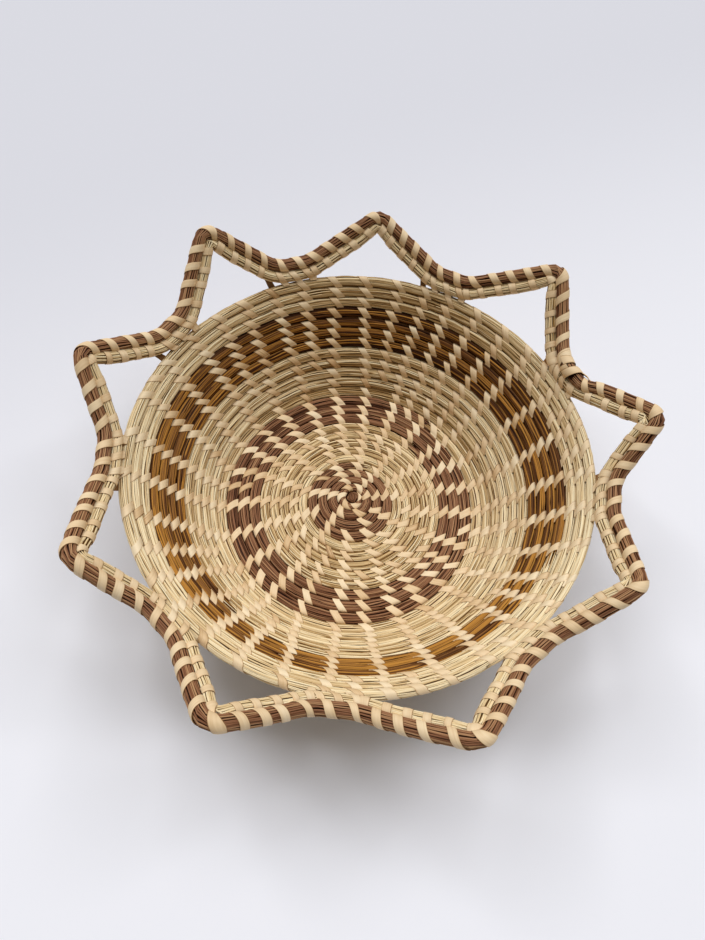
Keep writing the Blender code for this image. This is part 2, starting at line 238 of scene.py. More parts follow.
# Each plant: its material, its three tones as sRGB hex, the spacing of its grain in mm, and its roughness,
# relief and shine
TONE_WORDS = ("darkest", "usual", "palest")
PLANTS = {
    # Brown with a mauve cast, ridged along, with a slight waxy shine
    "pine_needle": ("dried_pine_needle", ("#4F2B10", "#8E6144", "#BA9068"), 0.30, 0.55, 0.06 * MM, 0.2),
    # Straw with a little green, finely veined, and satin
    "sweetgrass": ("dried_sweetgrass", ("#A67F43", "#E6CB9A", "#FAEBC6"), 0.25, 0.45, 0.05 * MM, 0.4),
    # Golden to dark brown, thicker than the grass, smooth and a little glossy
    "bulrush": ("dried_bulrush", ("#4A270A", "#7C5128", "#BF873A"), 0.35, 0.48, 0.05 * MM, 0.15),
    # A cream strip split from a leaf, matt, with the leaf's veins along it
    "palmetto": ("split_palmetto_leaf", ("#D2B082", "#E6CBA3", "#F2DFBD"), 0.40, 0.56, 0.07 * MM, 0.4),
}
# Little light comes out of the hollows between strands, and what does is warm
HOLLOW_LIGHT = (0.42, 0.31, 0.2)
# Where the darkest and the usual tone lie, from the hollows' at 0 to the palest at 1
TONE_PLACES = (0.15, 0.55)
# The streaks of tone: their length in mm, their width in lines of the grain, and their depth
STREAK_LENGTH = 1 / 0.06
STREAK_WIDTH = 1 / 0.45
STREAK_DEPTH = 0.2
# How long the grain's lines are, in mm, and how far the roughness varies with them
RIB_LENGTH = 10.0
ROUGHNESS_SPREAD = 0.08


def linear(hex_colour):
    """A colour in sRGB hex, as the linear values that a shader takes."""
    values = [int(hex_colour[i:i + 2], 16) / 255 for i in (1, 3, 5)]
    return [v / 12.92 if v <= 0.04045 else ((v + 0.055) / 1.055) ** 2.4 for v in values]


def length_property(name, description, millimetres):
    """A size that the user may change."""
    return bpy.props.FloatProperty(
        name=name, description=description, default=millimetres * MM, min=0.0, unit="LENGTH", precision=5
    )


def colour_property(name, description, hex_colour):
    """A colour that the user may change."""
    return bpy.props.FloatVectorProperty(
        name=name, description=description, default=linear(hex_colour), min=0.0, max=1.0,
        size=3, subtype="COLOR",
    )


class BasketSizes(bpy.types.PropertyGroup):
    """The sizes of the strands and the strips."""

    pine_needle: length_property("Pine needle", "Thickness of a pine needle", 0.78)
    sweetgrass: length_property("Sweetgrass", "Thickness of a blade of sweetgrass", 0.79)
    bulrush: length_property("Bulrush", "Thickness of a bulrush stem", 0.94)
    stitch: length_property("Stitch", "Width of a stitch along its row", 5.1)
    leaf: length_property("Leaf", "Thickness of the strip of palm leaf", 0.28)
    wrap: length_property("Wrap", "Width of the star's wraps along their coil", 4.7)
    wrap_pitch: length_property("Wrap pitch", "From one turn of a star's wrap to the next", 11.0)
    slim_step: length_property("Slim coil step", "Between two stitches of the slim coil", 9.5)
    slim_radius: length_property("Slim coil", "Radius of the star's slim coil", 3.3)
    wrapped_radius: length_property("Wrapped coil", "Radius of the star's wrapped coil", 3.6)


class BasketColours(bpy.types.PropertyGroup):
    """The card's near colour and its painted shade beyond the basket, and each plant in three tones."""

    floor: colour_property("Floor", "The matt card that the basket stands on", "#ECEEF7")
    # The card beyond the basket, painted darker as shade
    far_card_shade: colour_property("Backdrop", "The matt card's far part", "#D9DBE5")


for plant, (_, tones, *_) in PLANTS.items():
    for word, tone in zip(TONE_WORDS, tones):
        BasketColours.__annotations__[f"{plant}_{word}"] = colour_property(
            f"{plant.replace('_', ' ').capitalize()}, {word}", f"The plant in its {word} tone", tone
        )


def set_inputs(node, inputs):
    """Give a node's inputs, each as a value or as another node's output."""
    for key, value in inputs.items():
        if isinstance(value, bpy.types.NodeSocket):
            node.id_data.links.new(value, node.inputs[key])
        else:
            node.inputs[key].default_value = value


def add_node(tree, kind, inputs=None, **settings):
    """A node with its settings and its inputs."""
    node = tree.nodes.new("ShaderNode" + kind)
    for key, value in settings.items():
        setattr(node, key, value)
    set_inputs(node, inputs or {})
    return node


def along_noise(tree, lay, length, width, inputs):
    """A noise drawn out along the plant: how long and how wide its patches are, in mm."""
    scale = (1 / length, 1 / width, 1.0)
    scaled = add_node(tree, "Mapping", {"Vector": lay.outputs["Vector"], "Scale": scale})
    return add_node(tree, "TexNoise", {"Vector": scaled.outputs["Vector"], "Scale": 1.0, **inputs})


def fibre_material(name, tones, grain, roughness, relief, shine):
    """A dried plant: tones that run lengthwise, and a fine lengthwise relief.

    Each point has its tone and its lay: how far along and across its strand it is, in mm.
    """
    material = bpy.data.materials.new(name)
    material.use_nodes = True
    tree = material.node_tree
    tone, lay = (add_node(tree, "Attribute", attribute_name=name) for name in ("tone", "lay"))
    patches = {"Detail": 3.0, "Roughness": 0.6}
    streaks = along_noise(tree, lay, STREAK_LENGTH, grain * STREAK_WIDTH, patches)
    spread = add_node(tree, "MapRange", {
        "Value": streaks.outputs["Fac"], "From Min": 0.25, "From Max": 0.75,
        "To Min": -STREAK_DEPTH, "To Max": STREAK_DEPTH,
    }, clamp=False)
    mixed = add_node(tree, "Math", {0: tone.outputs["Fac"], 1: spread.outputs["Result"]})
    ramp = add_node(tree, "ValToRGB", {"Fac": mixed.outputs["Value"]})
    stops = ramp.color_ramp.elements
    # The lowest stop is painted shade: the darkest tone as dim as the hollows between strands
    hollow_shade = [value * share for value, share in zip(tones[0], HOLLOW_LIGHT)]
    for place in TONE_PLACES:
        stops.new(place)
    for stop, colour in zip(stops, (hollow_shade, *tones)):
        stop.color = (*colour, 1.0)
    ribs = along_noise(tree, lay, RIB_LENGTH, grain, {"Detail": 1.0})
    height = ribs.outputs["Fac"]
    bump = add_node(tree, "Bump", {"Height": height, "Strength": 0.5, "Distance": relief})
    gloss = add_node(tree, "MapRange", {
        "Value": height, "To Min": roughness - ROUGHNESS_SPREAD, "To Max": roughness + ROUGHNESS_SPREAD,
    })
    set_inputs(tree.nodes["Principled BSDF"], {
        "Base Color": ramp.outputs["Color"], "Roughness": gloss.outputs["Result"],
        "Normal": bump.outputs["Normal"], "Metallic": 0.0, "IOR": 1.45, "Specular IOR Level": shine,
    })
    return material


@functools.cache
def materials():
    """The four plants' materials."""
    colours = bpy.context.scene.basket_colours
    return {
        plant: fibre_material(name, [getattr(colours, f"{plant}_{word}") for word in TONE_WORDS], *finish)
        for plant, (name, _, *finish) in PLANTS.items()
    }


def new_piece(name, blocks, plant, *nodes):
    """A mesh skinned over runs of rings with capped ends. It stands for the nodes that it names.

    A block holds its rings by run, place and corner, and the tone and the lay of each corner.
    """
    points, tones, lays, faces = [], [], [], []
    for rings, tone, lay in blocks:
        first = sum(map(len, points))
        index = first + np.arange(rings.size // 3).reshape(rings.shape[:3])
        onward = np.roll(index, -1, axis=2)
        sides = np.stack([index[:, :-1], onward[:, :-1], onward[:, 1:], index[:, 1:]], -1)
        faces += sides.reshape(-1, 4).tolist()
        faces += index[:, 0, ::-1].tolist()
        faces += index[:, -1].tolist()
        points.append(rings.reshape(-1, 3))
        tones.append(np.broadcast_to(tone, rings.shape[:3]).reshape(-1))
        lays.append(np.broadcast_to(lay, rings.shape).reshape(-1, 3))
    mesh = bpy.data.meshes.new(name)
    mesh.from_pydata(np.concatenate(points).tolist(), [], faces)
    mesh.shade_smooth()
    if plant == "palmetto":
        mesh.set_sharp_from_angle(angle=math.radians(45))
    for key, kind, field, values in (
        ("tone", "FLOAT", "value", tones),
        ("lay", "FLOAT_VECTOR", "vector", lays),
    ):
        attribute = mesh.attributes.new(key, kind, "POINT")
        attribute.data.foreach_set(field, np.concatenate(values).ravel().astype(np.float32))
    mesh.materials.append(materials()[plant])
    obj = bpy.data.objects.new(name, mesh)
    bpy.context.scene.collection.objects.link(obj)
    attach(obj, "root")
    if nodes:
        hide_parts(*nodes)


def chance(name):
    """A piece's own random numbers, the same on each run."""
    return np.random.default_rng(list(name.encode()))


def wander(lengths, draw, wave):
    """A smooth random change along each run, mostly from -1 to 1. Wave is its longest wave."""
    total = np.zeros_like(lengths)
    for share in (1.0, 0.6, 0.35):
        phase = draw.uniform(0, math.tau, (len(lengths), 1))
        stretch = wave * share * draw.uniform(0.8, 1.25, (len(lengths), 1))
        total += share * np.sin(lengths * math.tau / stretch + phase)
    return total / 1.3


def unit(vectors):
    """The same directions, each with a length of one."""
    return vectors / np.linalg.norm(vectors, axis=-1, keepdims=True)


def lengths_along(points):
    """How far along its run each point is."""
    steps = np.linalg.norm(np.diff(points, axis=-2), axis=-1)
    return np.concatenate([0 * steps[..., :1], np.cumsum(steps, axis=-1)], axis=-1)


def round_a_ring(corners):
    """The direction of each corner of a ring."""
    return np.arange(corners) / corners * math.tau


def side_by_side(*values):
    """Values as one array's last axis."""
    return np.stack(np.broadcast_arrays(*values), -1)


def eased(share):
    """A share from 0 to 1 that starts and ends gently."""
    return share * share * (3 - 2 * share)


def squared(value):
    """A cosine or a sine that rises sooner and then stays flatter."""
    return np.tanh(SQUARENESS * value) / math.tanh(SQUARENESS)


def slant(bearing):
    """How far along the row a stitch has gone when it has this bearing, in radians."""
    face = -FACE_SLANT / 2 * squared(np.cos(bearing))
    back = -FACE_SLANT / 2 + BACK_SLANT * bearing / math.pi
    return np.where(bearing > 0, face, back)


def shift_share(run):
    """The share of the knot's shift that is felt this far out."""
    return eased(np.clip(1 - run / SHIFT_REACH, 0, 1))


class Coil:
    """A bundle's middle line by length, the two directions across it, and its two half sizes."""

    flat_faced = False

    def __init__(self, points, across, face, half_width, half_depth):
        self.table = np.column_stack([points, across, face, half_width, half_depth])
        self.length = lengths_along(points)
        self.stitches = np.zeros(0)

    def at(self, length):
        """The middle, the two directions and the two half sizes at any lengths."""
        columns = [np.interp(length, self.length, column) for column in self.table.T]
        return np.split(np.stack(columns, -1), (3, 6, 9, 10), axis=-1)

    def squeeze(self, length, bearing):
        """How much the nearest stitch draws the bundle in here, from 0 to 1."""
        if len(self.stitches) < 2:
            return np.zeros(np.broadcast(length, bearing).shape)
        here = length - slant(bearing)
        after = np.clip(np.searchsorted(self.stitches, here), 1, len(self.stitches) - 1)
        near = np.minimum(abs(here - self.stitches[after - 1]), abs(here - self.stitches[after]))
        return 1 / (1 + (near / SQUEEZE_REACH) ** 4)

    def skin(self, length, bearing, lift):
        """Points over the bundle's surface, by bearing and by height above it."""
        length, bearing, lift = np.broadcast_arrays(length, bearing, lift)
        middle, across, face, half_width, half_depth = self.at(length)
        drawn = (1 - SQUEEZE * self.squeeze(length, bearing))[..., None]
        wide, deep = self.section(bearing[..., None])
        lift = lift[..., None]
        sideways = across * wide * (half_width * drawn + lift)
        return middle + sideways + face * deep * (half_depth * drawn + lift)

    def section(self, bearing):
        """The bundle's outline as shares of its half width and its half depth."""
        wide, deep = np.cos(bearing), np.sin(bearing)
        return (squared(wide), squared(deep)) if self.flat_faced else (wide, deep)

    def even_bearings(self, shares):
        """Bearings at even distances round the outline, from shares of the way round it."""
        bearing = np.linspace(-math.pi, math.pi, 361)
        wide, deep = self.section(bearing)
        steps = np.hypot(np.diff(wide) * WIDE_BY_DEEP, np.diff(deep))
        way = np.concatenate([[0.0], np.cumsum(steps)])
        return np.interp(shares * way[-1], way, bearing)

    def places(self, begin, end, step):
        """Lengths from begin to end, with one at each stitch and even steps between them."""
        inner = self.stitches[(self.stitches > begin + MM) & (self.stitches < end - MM)]
        marks = [begin, *inner, end]
        found = []
        for a, b in zip(marks, marks[1:]):
            count = max(1, round((b - a) / step))
            found += [a + (b - a) * i / count for i in range(count)]
        return np.array(found + [end])


class Spiral(Coil):
    """The bowl's bundle, with the turn that each length belongs to."""

    flat_faced = True

    def __init__(self):
        self.turns = RING_TURNS[-1]
        steps = math.ceil(self.turns * STEPS_A_TURN) + 1
        turn = np.arange(steps) / STEPS_A_TURN
        full = self.full_width(turn)
        width = full * self.taper(turn)
        edge = np.full(steps, KNOT_RADIUS)
        for i in range(STEPS_A_TURN, steps):
            edge[i] = edge[i - STEPS_A_TURN] + width[i - STEPS_A_TURN]
        run = edge + width / 2
        flat = BASE_RADIUS - BEND_RADIUS * math.tan(WALL_ANGLE / 2)
        slope = np.clip((run - flat) / BEND_RADIUS, 0, WALL_ANGLE)
        straight = np.maximum(run - flat - BEND_RADIUS * WALL_ANGLE, 0)
        radius = np.minimum(run, flat) + BEND_RADIUS * np.sin(slope) + straight * np.cos(slope)
        height = BEND_RADIUS * (1 - np.cos(slope)) + straight * np.sin(slope)
        height += (full - ROW_GAP) / 2 * FLAT_HEIGHT
        angle = START_ANGLE - math.tau * turn
        x, y = np.cos(angle), np.sin(angle)
        points = side_by_side(radius * x, radius * y, height)
        inner, outer = shift_share(edge), shift_share(edge + width)
        points[:, :2] += (inner + outer)[:, None] / 2 * KNOT_SHIFT
        half_width = width / 2 + (outer - inner) / 2 * (x * KNOT_SHIFT[0] + y * KNOT_SHIFT[1])
        across = side_by_side(np.cos(slope) * x, np.cos(slope) * y, np.sin(slope))
        face = side_by_side(-np.sin(slope) * x, -np.sin(slope) * y, np.cos(slope))
        # On the flat base the bundle leaves room for the stitches under it, and on the wall it is rounder
        depth = (full - ROW_GAP) / 2 * FLAT_HEIGHT - STITCH_ROOM
        depth = (depth + slope / WALL_ANGLE * WALL_ROUNDING) * width / full
        super().__init__(points, across, face, half_width, depth)
        self.turn = turn

    def full_width(self, turn):
        """A new ring's bundle comes to its own width over its first turn."""
        width = np.full(len(turn), RINGS[0][3])
        for begin, ring in zip(RING_TURNS, RINGS):
            width += (ring[3] - width) * np.clip(turn - begin, 0, 1)
        return width

    def taper(self, turn):
        """The bundle starts as a thin tail against the knot, and it thins out again at the rim."""
        head = HEAD_WIDTH / RINGS[0][3] + turn / HEAD_TAPER_TURNS
        tail = TAIL_WIDTH / RINGS[-1][3] + np.maximum(self.turns - turn, 0.0) / TAIL_TAPER_TURNS
        return np.minimum(1.0, np.minimum(head, tail))

    def length_at(self, turn):
        return np.interp(turn, self.turn, self.length)

    def turn_at(self, length):
        return np.interp(length, self.length, self.turn)

    def one_row_in(self, length):
        """The length at the same direction on the row inside."""
        return self.length_at(np.maximum(self.turn_at(length) - 1, 0.0))

    def sew(self):
        """Each row repeats the stitches of the row inside it, a little more evenly spaced.

        Where two of them would come too far apart, another one goes between them.
        """
        draw = chance("stitches")
        turns = [*FIRST_STITCHES]
        followed = 0
        while turns[-1] < self.turns - 0.06:
            last = turns[-1]
            middle = self.at(self.length_at(last))[0]
            row = math.tau * math.hypot(middle[0], middle[1])
            even = (turns[max(followed - 1, 0)] + turns[followed + 1]) / 2
            evened = turns[followed] + (even - turns[followed]) * EASE * min(followed, 1)
            target = evened + 1 + draw.normal(0, 0.6 * MM) / row
            followed += 1
            if (target - last) * row < CLOSEST_STITCHES:
                continue
            widest = RINGS[np.searchsorted(RING_TURNS, last, side="right") - 1][4]
            parts = math.ceil((target - last) * row / widest)
            turns += [last + (target - last) * i / parts for i in range(1, parts + 1)]
        self.stitch_turns = np.array([turn for turn in turns if turn < self.turns - 0.02])
        self.stitches = self.length_at(self.stitch_turns)

    def rim_length(self, angle):
        """The length on the outermost row in this direction."""
        turn = (START_ANGLE - angle) / math.tau
        return self.length_at(turn + math.floor(self.turns - turn))

    def rim_edge(self, angle):
        """The radius and the height of the outermost row's outer edge in this direction."""
        edge = self.at(self.rim_length(angle))
        outer = edge[0] + edge[1] * (edge[3] - ROW_GAP / 2)
        return math.hypot(outer[0], outer[1]), outer[2]


@functools.cache
def bowl():
    """The bowl's bundle with its stitches in place."""
    spiral = Spiral()
    spiral.sew()
    return spiral


def clockwise(degrees, after):
    """A direction in radians, as the first one clockwise of another."""
    angle = math.radians(degrees)
    return angle + math.tau * math.floor((after - angle) / math.tau)


class StarCone:
    """The cone that the star lies on. Rolled out flat, its coils are drawn with straight sides."""

    def __init__(self):
        edges = [bowl().rim_edge(math.radians(valley)) for _, _, valley in POINTS]
        self.radius = max(radius for radius, _ in edges)
        self.height = max(height for _, height in edges)

    def flat(self, angle, past_rim):
        """A direction and a distance past the rim, as a point of the flat drawing."""
        reach = self.radius / LEAN_COSINE + past_rim
        turned = angle * LEAN_COSINE
        return Vector((reach * math.cos(turned), reach * math.sin(turned)))

    def solid(self, point, near):
        """A point of the flat drawing, back in space. Near is a direction close to it."""
        turned = math.atan2(point.y, point.x)
        turned += math.tau * round((near * LEAN_COSINE - turned) / math.tau)
        angle = turned / LEAN_COSINE
        past_rim = point.length - self.radius / LEAN_COSINE
        radius = self.radius + past_rim * LEAN_COSINE
        height = self.height + past_rim * math.sin(STAR_LEAN)
        return Vector((radius * math.cos(angle), radius * math.sin(angle), height))

    def valley(self, angle, seat):
        """A coil's straight run along the rim: its start, its middle and its end."""
        lower = (self.radius - bowl().rim_edge(angle)[0]) / LEAN_COSINE
        middle = self.flat(angle, seat - lower)
        along = Vector((middle.y, -middle.x)).normalized() * VALLEY_HALF
        return middle - along, middle, middle + along


def moved_inwards(corners, distances):
    """An outline whose sides are moved towards the rim, with its corners kept sharp."""
    sides = []
    for a, b, distance in zip(corners, corners[1:], distances):
        inward = Vector((b.y - a.y, a.x - b.x)).normalized() * distance
        sides.append((a + inward, b + inward))
    moved = [sides[0][0]]
    for (a, b), (c, d) in zip(sides, sides[1:]):
        moved.append(a + (b - a) * ((c - a).cross(d - c) / (b - a).cross(d - c)))
    return moved + [sides[-1][1]]


def rounded(corners, bends):
    """The outline with an arc at each inner corner, and points along its straight sides."""
    points = [corners[0]]
    for a, corner, b, bend in zip(corners, corners[1:], corners[2:], bends):
        before, after = (corner - a).normalized(), (b - corner).normalized()
        turn = before.angle_signed(after)
        start = corner - before * bend * math.tan(abs(turn) / 2)
        to_centre = Vector((before.y, -before.x)) * math.copysign(bend, turn)
        points += along_side(points[-1], start)
        centre = start + to_centre
        steps = max(1, math.ceil(abs(turn) / ARC_STEP))
        for i in range(steps + 1):
            spoke = -to_centre
            spoke.rotate(Matrix.Rotation(-turn * i / steps, 2))
            points.append(centre + spoke)
    return points + along_side(points[-1], corners[-1]) + [corners[-1]]


def pull(points, place, shift, reach):
    """Move the points near a place by the shift, and those further away by less."""
    for point in points:
        point += shift * eased(max(0.0, 1 - (point - place).length / reach))


def along_side(a, b):
    """Points between two others, without them."""
    count = math.ceil((b - a).length / SIDE_STEP)
    return [a.lerp(b, i / count) for i in range(1, count)]


@functools.cache
def star_runs():
    """The middles of the slim and the wrapped coil, point by point, from valley to valley."""
    cone = StarCone()
    moves = (SLIM_VALLEY_SPACING, COIL_SPACING, COIL_SPACING, SLIM_VALLEY_SPACING)
    here = math.radians(POINTS[-1][2])
    slim, wrapped = [], []
    for tip, reach, valley in POINTS:
        tip_angle = clockwise(tip, here)
        there = clockwise(valley, tip_angle)
        _, middle, leave = cone.valley(here, SLIM_SEAT + VALLEY_SPACING)
        arrive, next_middle, _ = cone.valley(there, SLIM_SEAT + VALLEY_SPACING)
        corners = [middle, leave, cone.flat(tip_angle, reach * MM), arrive, next_middle]
        outer = rounded(corners, (VALLEY_BEND, TIP_BEND, VALLEY_BEND))
        slim_bend = VALLEY_BEND + COIL_SPACING
        inner = rounded(moved_inwards(corners, moves), (slim_bend, SLIM_TIP_BEND, slim_bend))
        apex = max(inner, key=lambda point: point.length).copy()
        pull(inner, apex, (corners[2] - apex).normalized() * TIP_TUCK, TIP_REACH)
        wrapped.append([cone.solid(point, tip_angle) for point in outer])
        slim.append([cone.solid(point, tip_angle) for point in inner])
        here = there
    splice = wrapped[0][0].copy()
    dip = Matrix.Rotation(SPLICE_SIDEWAYS, 3, "Z") @ Vector((-splice.x, -splice.y, 0)).normalized()
    dip = dip * SPLICE_DIP + Vector((0, 0, SPLICE_LIFT))
    for coil, share in ((wrapped, 1.0), (slim, 0.4)):
        for run in (coil[0], coil[-1]):
            pull(run, splice, dip * share, SPLICE_REACH)
    return slim, wrapped


def star_coil(runs, radius):
    """One of the star's coils, from the last valley round to the last valley."""
    points = np.array([point for run in runs for point in run[:-1]] + [runs[-1][-1]])
    ahead = unit(np.gradient(points, axis=0))
    across = unit(np.cross((0, 0, 1), ahead))
    radii = np.full(len(points), radius)
    return Coil(points, across, np.cross(ahead, across), radii, radii)


def tubes(centres, outward, radius):
    """A strand's rings round each run of centres. Outward is away from the bundle's middle."""
    ahead = unit(np.gradient(centres, axis=1))
    side = unit(np.cross(ahead, outward))
    up = np.cross(side, ahead)
    turn = round_a_ring(STRAND_SIDES)[:, None]
    ring = up[:, :, None] * np.cos(turn) + side[:, :, None] * np.sin(turn)
    return centres[:, :, None] + ring * radius[..., None, None]


def core(coil, base, thickness, closes):
    """A core under the strands, painted dark as the shade between them. It reaches past the inner side by
    closes, into the row inside.
    """
    lengths = np.clip(base, coil.length[0], coil.length[-1])[None, :]
    middle, across, face, half_width, half_depth = coil.at(lengths)
    corner = round_a_ring(CORE_SIDES)
    sideways = np.cos(corner) * (half_width - thickness)
    sideways = np.where(np.cos(corner) < -0.9, -half_width - closes, sideways)
    upwards = np.sin(corner) * (half_depth - 1.1 * thickness)
    rings = middle[:, :, None] + across[:, :, None] * sideways[..., None]
    rings = rings + face[:, :, None] * upwards[..., None]
    return rings, CORE_PAINTED_SHADE, side_by_side(lengths[..., None] / MM, corner, 0.0)


def grass(
    coil, begin, end, plant, thickness, draw, stagger=0.0, closes=0.0, drift=np.zeros_like, step=STRAND_STEP
):
    """The strands that show round a bundle, and the core under them."""
    count, blade_length, tone_spread = GRASSES[plant]
    base = coil.places(begin, end, step)
    bearing = coil.even_bearings((np.arange(count) + draw.uniform(0.3, 0.7, count)) / count)[:, None]
    lengths = base[None, :] + slant(bearing)
    # The strands end at their own places, so that one plant runs into the next
    for away in (base - begin, end - base):
        near = np.clip(1 - away / BLEND_REACH, 0, 1)
        lengths = lengths + near * draw.uniform(-stagger, stagger, (count, 1))
    lengths = np.clip(lengths, coil.length[0], coil.length[-1])
    # A strand is a blade's length long, and the next begins where it thins out
    run = draw.uniform(0.7, 1.3, (count, 1)) * blade_length
    share = (lengths - begin) / run + draw.uniform(0, 1, (count, 1))
    joint = (share - np.round(share)) * run
    thin = 1 - JOINT_THINNING * np.exp(-((joint / JOINT_REACH) ** 2))
    blade = np.floor(share + 0.5).astype(int)
    blade_tone = draw.normal(BLADE_TONE, tone_spread, (count, int(blade.max()) + 2))
    blade_tone = np.clip(blade_tone, 0.2, 1.0)
    tone = np.take_along_axis(blade_tone, np.maximum(blade, 0), axis=1) + drift(lengths)
    size = thickness / 2 * draw.uniform(0.8, 1.2, (count, 1))
    half = coil.at(lengths)[3][..., 0]
    radius = size * thin * np.clip(half / THIN_BUNDLE, 0.3, 1.0)
    radius[:, [0, -1]] *= STRAND_TIP
    swayed = bearing + wander(lengths, draw, SWAY_WAVE) * 0.10
    lift = wander(lengths, draw, LIFT_WAVE) * 0.10 * MM - radius - (1 - thin) * 0.2 * MM
    centres = coil.skin(lengths, swayed, lift)
    rings = tubes(centres, centres - coil.at(lengths)[0], radius)
    # Each blade has its own part of the noise
    part = np.arange(count)[:, None, None] * 7.3 + blade[..., None] * 3.1
    round_strand = round_a_ring(STRAND_SIDES) * thickness / 2
    lay = side_by_side(lengths[..., None] / MM, round_strand / MM, part)
    return [(rings, tone[..., None] + STRAND_PAINTED_SHADING, lay), core(coil, base, thickness, closes)]


# Across a crowned strip: each corner's place in half widths, and its height in leaf thicknesses
STRIP_CORNERS = np.array([-1.0, -0.84, -0.45, 0.0, 0.45, 0.88, 1.0, 0.94, -0.94])
STRIP_HEIGHTS = np.array([0.6, 0.85, 0.97, 1.0, 0.97, 0.85, 0.6, -0.35, -0.35])
# Painted shade where the strip meets the grass: the tone falls towards its edges and under it, most along
# one edge
STRIP_PAINTED_SHADE = np.array([-0.95, -0.03, 0.02, 0.05, 0.02, -0.03, -0.5, -0.8, -0.95])


def strip_lay(rings, seeds):
    """A strip's lay: how far along its rings' middle and across it a corner is."""
    middle = rings[:, :, 3]
    along = lengths_along(middle)[..., None]
    across = np.linalg.norm(rings - middle[:, :, None], axis=-1) * np.sign(STRIP_CORNERS)
    return side_by_side(along / MM, across / MM, seeds[:, None, None])


def bowl_stitches(places, width, leaf, tones, draw):
    """Stitches over a ring's rows.

    On the face each one dives into the seam at its inner edge, and on the back it goes into the row inside.
    """
    spiral = bowl()
    count = len(places)
    half = width / 2 * draw.uniform(0.86, 1.12, (count, 1, 1))
    thick = leaf * draw.uniform(0.85, 1.15, (count, 1, 1))
    lean = draw.uniform(0.8, 1.15, (count, 1, 1))
    out = np.linalg.norm(spiral.at(places)[0][:, :2], axis=1)[:, None, None]
    lean = lean * np.clip(out / STRAIGHT_RADIUS, 0.8, 1.0)
    half = half * np.clip(out / NARROW_RADIUS, 0.9, 1.0)

    def some_rings(bearings, shifts, shares=1.0, lifts=0.0, inside=None):
        """Rings round the row, or at other bearings in the row inside it, where there is one."""
        bearings, shifts, shares, lifts = (
            np.atleast_1d(values)[:, None] for values in (np.radians(bearings), shifts, shares, lifts)
        )
        lengths = places[:, None, None] + shifts * lean + STRIP_CORNERS * half * shares
        lifts = lifts + STRIP_HEIGHTS * thick
        rings = spiral.skin(lengths, bearings, lifts)
        if inside is None:
            return rings
        inner = spiral.skin(spiral.one_row_in(lengths), np.radians(inside)[:, None], lifts)
        return np.where((spiral.turn_at(lengths) < 1.0)[..., None], rings, inner)

    dive = np.array((0.56, 0.5)) * FACE_SLANT
    face_end = some_rings((184, 172), dive, (0.8, 0.95), (-0.9 * MM, -0.1 * MM), (16, 32))
    around = np.linspace(140, -140, 19)
    reach = np.array((1.0, 1.04)) * (-FACE_SLANT / 2 - BACK_SLANT)
    back_end = some_rings((-172, -184), reach, (0.96, 0.85), (0.1 * MM, -0.9 * MM), (-52, -40))
    rings = np.concatenate([face_end, some_rings(around, slant(np.radians(around))), back_end], axis=1)
    seeds = draw.uniform(0, 500, count)
    # The strips take half of the ring's tone, and so half its painted light at the sides and the near side
    tone = draw.normal(LEAF_TONE, 0.2, (count, 1, 1)) + STRIP_PAINTED_SHADE
    tone = tone + ring_tone_and_painted_light(tones, places)[:, None, None] / 2
    return [(rings, tone, strip_lay(rings, seeds))]


def helix(coil, begin, end, turns, width, leaf, draw, lead=0.0, uneven=0.0, lift=0.06 * MM):
    """One strip wound round a coil. It rises on the outer side and goes clockwise over the top."""
    count = math.ceil(abs(turns) * STRIP_STEPS) + 1
    bearings = (np.linspace(0, turns, count) + lead) * math.tau
    middles = np.linspace(begin, end, count)[None]
    ends = np.clip(np.minimum(middles - begin, end - middles) / STRIP_EASE, 0, 1)
    middles = middles + wander(middles, draw, STRIP_WAVE) * ends * uneven
    half = width / 2 * (1 + wander(middles, draw, STRIP_WIDTH_WAVE) * 0.06)
    lengths = middles[..., None] + STRIP_CORNERS[::-1] * half[..., None]
    rings = coil.skin(lengths, bearings[:, None], STRIP_HEIGHTS[::-1] * leaf + lift)
    tone = LEAF_TONE + wander(middles, draw, STRIP_WAVE)[..., None] * 0.12 + STRIP_PAINTED_SHADE[::-1]
    return rings, tone, strip_lay(rings, draw.uniform(0, 500, 1))


def ring_tone_and_painted_light(tones, lengths):
    """How much paler or darker a ring is at any lengths: its own tone, and painted light that pales its two
    sides, and its near side against its far side.
    """
    usual, sides, near = tones
    from_far = math.tau * bowl().turn_at(lengths) - START_ANGLE + math.radians(90)
    return usual - sides * np.cos(2 * from_far) - near * np.cos(from_far)


def valley_lengths(coil, runs):
    """Where each point of the star ends on a coil, in the valley after it."""
    return coil.length[np.cumsum([len(run) - 1 for run in runs])]


